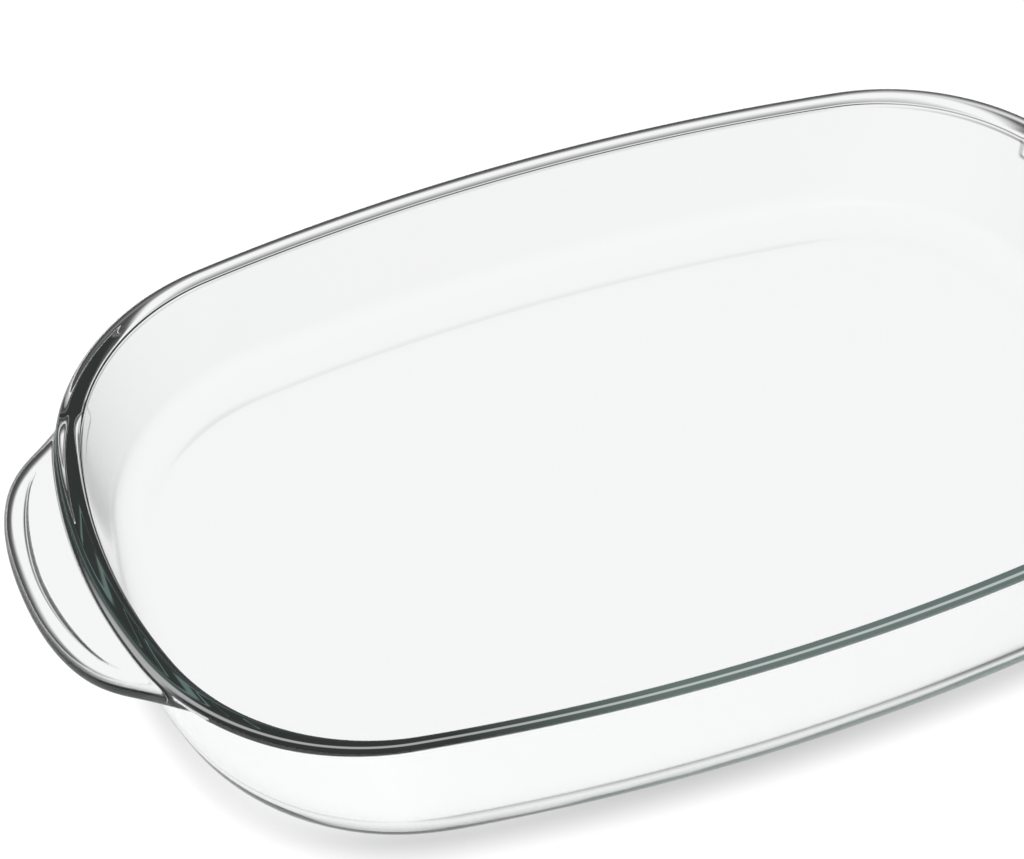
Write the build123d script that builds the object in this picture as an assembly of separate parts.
from build123d import *
import math
import os

# Clear pressed-glass baking dish: a rounded rectangle with bowed sides, drafted
# walls, a rounded heel, a thick rim bead and one flat grip tab at each end.
# Millimetres, +Z up. Origin: centre of the flat underside. +X along the length.
# The dish is one pressing. The pieces are its regions, and the planes where
# they meet are not seams in the glass.

# ---- heights
HEIGHT = 55.0            # underside to the top of the rim
BASE_T = 5.5             # floor thickness
HEEL_TOP = 18.0          # heel region ends, straight wall starts
BEAD_BOTTOM = 50.8       # underside of the rim bead
CUT_TOP = HEIGHT + 2.0   # the cavity cutter runs out above the rim
OVERCUT = 1.0            # how far the other cutters overrun the glass
LEVEL_TOL = 0.01         # for picking the edges at one height

# ---- outlines: half length, half width, side arc, end arc and corner arc radii
RIM_OUTER = (175.0, 109.3, 673.0, 178.0, 78.3)
WALL_OUTER_TOP = (172.8, 107.5, 671.0, 176.0, 76.3)     # at BEAD_BOTTOM
WALL_OUTER_FOOT = (160.0, 106.2, 690.0, 175.0, 75.5)    # at z = 0, before the heel radius
WALL_INNER_TOP = (168.1, 104.7, 668.0, 172.4, 72.1)     # at CUT_TOP
WALL_INNER_FOOT = (157.0, 102.1, 686.0, 171.0, 71.1)    # at BASE_T
FLOOR_EDGE = (146.0, 89.6, 673.0, 158.5, 58.6)          # flat middle of the floor

# ---- fillet radii
HEEL_OUTER_R = 15.5
HEEL_INNER_R = 11.0
BEAD_TOP_OUTER_R = 2.6
BEAD_TOP_INNER_R = 2.0
BEAD_UNDER_R = 1.4
TAB_EDGE_R = 2.7

# ---- grips, drawn at the +X end
TAB_TOP = 52.4           # a little below the rim top
TAB_T = 6.0
# Plan of the +Y half (x, y), from inside the bowl wall out to the middle of the end
TAB_PLAN = [
    (155.0, 63.2), (160.5, 60.2), (165.7, 56.2), (171.5, 51.6), (178.0, 46.8),
    (184.3, 40.3), (189.8, 29.5), (192.9, 16.5), (194.0, 0.0),
]
# Centre line of the crescent groove in the top face (x, y), from its middle to its +Y tip
GROOVE_LINE = [
    (188.0, 0.0), (187.3, 10.5), (185.5, 20.5), (183.3, 28.0),
    (181.2, 33.2), (178.5, 38.0), (174.9, 42.2),
]
GROOVE_W = 1.6           # width at the middle, running out to nothing at the tips
GROOVE_TAPER = 2.5       # exponent of the narrowing: higher stays wide for longer
GROOVE_DEPTH = 1.2


def flip_y(points):
    """The points mirrored across the XZ plane, in reverse order."""
    return [(x, -y) for x, y in reversed(points)]


def quarter_outline(dims):
    """Points from (half length, 0) to (0, half width): arc middles and joints in turn."""
    half_length, half_width, side_r, end_r, corner_r = dims
    side_centre = Vector(0, half_width - side_r)
    end_centre = Vector(half_length - end_r, 0)

    # The corner arc touches both others from inside, which fixes its centre's
    # distance from each of theirs. Of the two crossings, the outer one is used.
    from_side = side_r - corner_r
    from_end = end_r - corner_r
    span = end_centre - side_centre
    along = (from_side ** 2 - from_end ** 2 + span.length ** 2) / (2 * span.length)
    across = math.sqrt(from_side ** 2 - along ** 2)
    unit = span.normalized()
    foot = side_centre + unit * along
    offset = Vector(-unit.Y, unit.X) * across
    corner_centre = max(foot + offset, foot - offset, key=lambda p: p.X + p.Y)

    to_side = (corner_centre - side_centre).normalized()
    to_end = (corner_centre - end_centre).normalized()
    end_joint = end_centre + to_end * end_r
    corner_middle = corner_centre + (to_side + to_end).normalized() * corner_r
    side_joint = side_centre + to_side * side_r
    joints = [(p.X, p.Y) for p in (end_joint, corner_middle, side_joint)]
    return [(half_length, 0.0)] + joints + [(0.0, half_width)]


def outline(dims, z):
    """Closed wire of eight tangent arcs at height z."""
    quarter = quarter_outline(dims)
    upper = quarter + [(-x, y) for x, y in reversed(quarter[:-1])]
    ring = [Vector(x, y, z) for x, y in upper + flip_y(upper[1:-1])]
    # Even points are arc middles, odd points are the joints
    return Wire([Edge.make_three_point_arc(ring[i - 1], ring[i], ring[i + 1])
                 for i in range(0, len(ring), 2)])


def prism(dims, bottom, top):
    return extrude(Face(outline(dims, bottom)), amount=top - bottom, dir=(0, 0, 1))


def edges_at(shape, z):
    """Edges that lie wholly at height z."""
    boxes = [(edge, edge.bounding_box()) for edge in shape.edges()]
    return [edge for edge, box in boxes
            if abs(box.min.Z - z) < LEVEL_TOL and abs(box.max.Z - z) < LEVEL_TOL]


def drafted_block(foot, bottom, top_dims, top, foot_r):
    """Ruled loft between two outlines, with its bottom edge rounded."""
    block = Solid.make_loft([outline(foot, bottom), outline(top_dims, top)], True)
    return fillet(edges_at(block, bottom), foot_r)


def make_rim_block():
    """The rim bead before the cavity is cut out of it."""
    block = prism(RIM_OUTER, BEAD_BOTTOM, HEIGHT)
    block = fillet(edges_at(block, HEIGHT), BEAD_TOP_OUTER_R)
    return fillet(edges_at(block, BEAD_BOTTOM), BEAD_UNDER_R)


def make_rim_bead(rim_block, cavity):
    bead = rim_block - cavity
    crest = bead.faces().sort_by(Axis.Z)[-1]
    return fillet(crest.inner_wires()[0].edges(), BEAD_TOP_INNER_R)


def make_tab():
    """Grip plate, running into the bowl, with rounded top and bottom edges."""
    curve = Edge.make_spline([Vector(x, y) for x, y in TAB_PLAN + flip_y(TAB_PLAN[:-1])])
    x, y = TAB_PLAN[0]
    back = Edge.make_line(Vector(x, -y), Vector(x, y))
    plan = Face(Wire([curve, back])).moved(Location((0, 0, TAB_TOP - TAB_T)))
    tab = extrude(plan, amount=TAB_T, dir=(0, 0, 1))
    return fillet([e for e in tab.edges() if e.geom_type == GeomType.BSPLINE], TAB_EDGE_R)


def groove_side(sign):
    """One long edge of the groove, tip to tip: sign 1 is the outer edge, -1 the inner."""
    tip = GROOVE_LINE[-1]
    line = flip_y(GROOVE_LINE[1:2]) + GROOVE_LINE
    side = []
    for before, (x, y), after in zip(line, line[1:], line[2:]):
        tangent = (Vector(*after) - Vector(*before)).normalized()
        offset = sign * GROOVE_W / 2 * (1 - (y / tip[1]) ** GROOVE_TAPER)
        side.append((x + offset * tangent.Y, y - offset * tangent.X))
    side.append(tip)
    points = side[::-1] + [(x, -y) for x, y in side[1:]]
    return Edge.make_spline([Vector(x, y, TAB_TOP - GROOVE_DEPTH) for x, y in points])


def make_groove():
    plan = Face(Wire([groove_side(1), groove_side(-1)]))
    return extrude(plan, amount=GROOVE_DEPTH + OVERCUT, dir=(0, 0, 1))


# ---- bowl, without bead and grips
outer = drafted_block(WALL_OUTER_FOOT, 0.0, WALL_OUTER_TOP, BEAD_BOTTOM, HEEL_OUTER_R)
cavity = drafted_block(WALL_INNER_FOOT, BASE_T, WALL_INNER_TOP, CUT_TOP, HEEL_INNER_R)
bowl = outer - cavity

# ---- blocks that divide the bowl into regions
floor_block = prism(FLOOR_EDGE, -OVERCUT, BASE_T + OVERCUT)
low_block = prism(RIM_OUTER, -OVERCUT, HEEL_TOP)

# ---- rim and grips
rim_block = make_rim_block()
right_grip = make_tab() - make_groove() - rim_block - outer

pieces = {
    "base_panel": bowl & floor_block,
    "heel_ring": (bowl & low_block) - floor_block,
    "side_wall": bowl - low_block,
    "rim_bead": make_rim_bead(rim_block, cavity),
    "right_grip": right_grip,
    "left_grip": right_grip.mirror(Plane.YZ),
}

os.makedirs("parts", exist_ok=True)
for name, shape in pieces.items():
    solids = shape.solids()
    piece = Compound(children=list(solids)) if len(solids) > 1 else solids[0]
    export_step(piece, f"parts/{name}.step")
